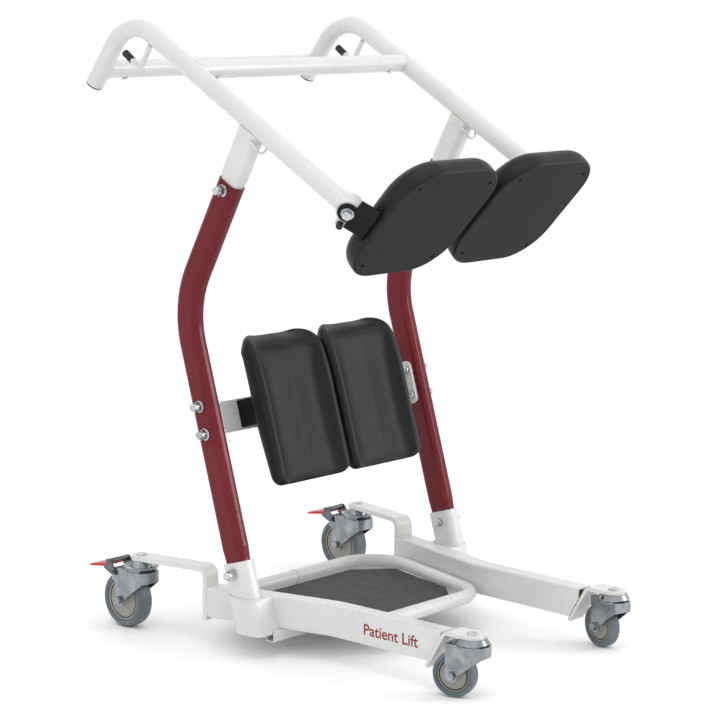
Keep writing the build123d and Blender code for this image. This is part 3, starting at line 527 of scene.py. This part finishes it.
# ---------------------------------------------------------------- welds
def weld(name, points, radius=0.0021):
    """A closed painted bead along points, with scales 3.4 mm apart."""
    bead = tube(name, points, radius, WHITE, closed=True, sides=10, ripple=0.10, pitch=0.0034, angle=60.0)
    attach(bead, "frame")


def neck_weld(name, side):
    """Where the neck's rounded section runs into the underside of the arm."""
    axis = Vector((0, -math.sin(NECK_LEAN), math.cos(NECK_LEAN)))
    across = Vector((0, math.cos(NECK_LEAN), math.sin(NECK_LEAN)))
    arm = Vector((0, math.cos(ARM_ANGLE), math.sin(ARM_ANGLE)))
    centre = Vector((side * ARM_X, NECK_AXIS.y, NECK_AXIS.z))
    on_arm = Vector((side * ARM_X, 0.019, 0.8916))
    points = []
    for u, v in rounded_rectangle(0.0148, 0.0238, 0.0118, 10, 8):
        start = centre + Vector((u, 0, 0)) + across * v - axis * 0.08
        points.append(meet_arm(start, axis, on_arm, arm))
    weld(f"neck_weld_{name}", points)


def meet_arm(start, way, on_arm, arm):
    """The first point on a line that lies on the arm's surface."""
    offset = start - on_arm
    a = way - arm * way.dot(arm)
    b = offset - arm * offset.dot(arm)
    square = b.dot(a) ** 2 - a.length_squared * (b.length_squared - TUBE_R ** 2)
    return start + way * ((-b.dot(a) - math.sqrt(max(square, 0.0))) / a.length_squared)


def stub_weld(name, side, bar, angle):
    """Where a crossbar stub of the arm's own diameter meets the arm."""
    points = []
    for k in range(72):
        a = 2 * math.pi * k / 72
        depth = math.sqrt(max(1 - math.sin(a - angle) ** 2, 0.0))
        inward = TUBE_R * max(depth, 0.12)
        height = bar.z + TUBE_R * math.sin(a)
        points.append(Vector((side * (ARM_X - inward), bar.y + TUBE_R * math.cos(a), height)))
    weld(name, points, 0.0017)


def sleeve_weld(name, side):
    """Seam between the post's sleeve and the box below it."""
    points = []
    for u, v in rounded_rectangle(0.0192, 0.0288, 0.0142, 10, 8):
        points.append(Vector((side * ARM_X + u, 0.0367 + v / math.cos(POST_LEAN), 0.1030)))
    weld(f"sleeve_weld_{name}", points, 0.0016)


def hoop_seam():
    """Butt weld at the middle of the platform hoop's rear run."""
    low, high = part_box("platform_hoop")
    radius = 0.0125
    centre = Vector((0, high.y - radius, (low.z + high.z) / 2))
    points = [centre + Vector((0, math.cos(a), math.sin(a))) * radius
              for a in (2 * math.pi * k / 48 for k in range(48))]
    weld("hoop_seam", points, 0.0013)


# ---------------------------------------------------------------- marks
def lettering(name, text, size, place, material, body):
    """Thin raised letters, laid out by a placing matrix."""
    curve = bpy.data.curves.new(name, "FONT")
    curve.body = text
    curve.size = size
    curve.align_x = "CENTER"
    curve.align_y = "CENTER"
    curve.extrude = 0.00006
    curve.offset = 0.0004
    flat = bpy.data.objects.new(name + "_curve", curve)
    bpy.context.scene.collection.objects.link(flat)
    bpy.context.view_layer.update()
    mesh = bpy.data.meshes.new_from_object(flat.evaluated_get(bpy.context.evaluated_depsgraph_get()))
    bpy.data.objects.remove(flat)
    mesh.transform(place)
    mesh.materials.clear()
    mesh.materials.append(material)
    made = bpy.data.objects.new(name, mesh)
    bpy.context.scene.collection.objects.link(made)
    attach(made, body)


def placing(origin, right, up, out):
    """Matrix that carries X, Y and Z onto three directions, at an origin."""
    rows = [Vector((right[k], up[k], out[k], origin[k])) for k in range(3)]
    return Matrix((*rows, Vector((0, 0, 0, 1))))


def leg_mark(name, side):
    """Generic lettering on the outer face of a leg's front run."""
    start, end = Vector((side * 0.190, -0.103, 0)), Vector((side * 0.183, -0.343, 0))
    right = (end - start).normalized() * -side
    up = Vector((0, 0, 1))
    out = right.cross(up).normalized()
    middle = start.lerp(end, 0.56) + out * 0.01803 + up * 0.0745
    place = placing(middle, right, up, out)
    lettering(f"leg_mark_{name}", "Patient Lift", 0.027, place, RED_INK, "frame")


# ---------------------------------------------------------------- studio
def add_light(name, place, target, size, energy, size_y=None):
    data = bpy.data.lights.new(name, "AREA")
    data.energy = energy
    data.size = size
    if size_y:
        data.shape = "RECTANGLE"
        data.size_y = size_y
    lamp = bpy.data.objects.new(name, data)
    lamp.location = place
    lamp.rotation_euler = (Vector(target) - Vector(place)).to_track_quat("-Z", "Y").to_euler()
    bpy.context.scene.collection.objects.link(lamp)


def make_studio():
    reach = 30.0
    points = [(-reach, -reach, 0), (reach, -reach, 0), (reach, reach, 0), (-reach, reach, 0)]
    floor_look = Surface("studio_floor", (0.97, 0.97, 0.97), 0.85)
    floor_look.tint(floor_look.noise(0.7, 2), (0.96, 0.96, 0.96))
    floor = add_mesh("studio_floor", [Vector(p) for p in points], [(0, 1, 2, 3)], floor_look.material)
    world = bpy.data.worlds.new("studio")
    world.use_nodes = True
    world.node_tree.nodes["Background"].inputs["Color"].default_value = (1.0, 1.0, 1.0, 1)
    world.node_tree.nodes["Background"].inputs["Strength"].default_value = 1.05
    bpy.context.scene.world = world
    add_light("key", (2.5, -2.8, 1.7), (0, 0, 0.6), 0.6, 44, size_y=2.2)
    add_light("top", (-0.6, -0.8, 3.4), (0, 0, 0.5), 1.8, 16)
    add_light("fill", (-3.8, 0.2, 1.6), (0, 0, 0.5), 1.6, 4)
    add_light("rim", (1.2, 3.2, 2.6), (0, 0, 0.6), 1.4, 8)
    bpy.context.scene.view_settings.view_transform = "Standard"


def make_camera():
    data = bpy.data.cameras.new("camera")
    data.sensor_width = 36.0
    data.lens = 114.2
    camera = bpy.data.objects.new("camera", data)
    right = Vector((0.67913, -0.73400, 0.00304))
    back = Vector((-0.7246, -0.6700, 0.1609)).normalized()
    right = (right - back * right.dot(back)).normalized()
    up = back.cross(right)
    place = Vector((-2.90373, -2.66347, 1.12697))
    camera.matrix_world = placing(place, right, up, back)
    bpy.context.scene.collection.objects.link(camera)
    bpy.context.scene.camera = camera


# ---------------------------------------------------------------- assembly
dress_frame()
for name, side in SIDES:
    make_seat_pad(name, side)
    make_knee_pad(name, side)
    make_wheel("rear", REAR_WHEEL, name, side)
    make_wheel("front", FRONT_WHEEL, name, side)
    neck_weld(name, side)
    stub_weld(f"front_stub_weld_{name}", side, BARS[0], ARM_ANGLE)
    stub_weld(f"rear_stub_weld_{name}", side, BARS[1], HANDLE_ANGLE)
    sleeve_weld(name, side)
    leg_mark(name, side)
hoop_seam()
make_studio()
make_camera()
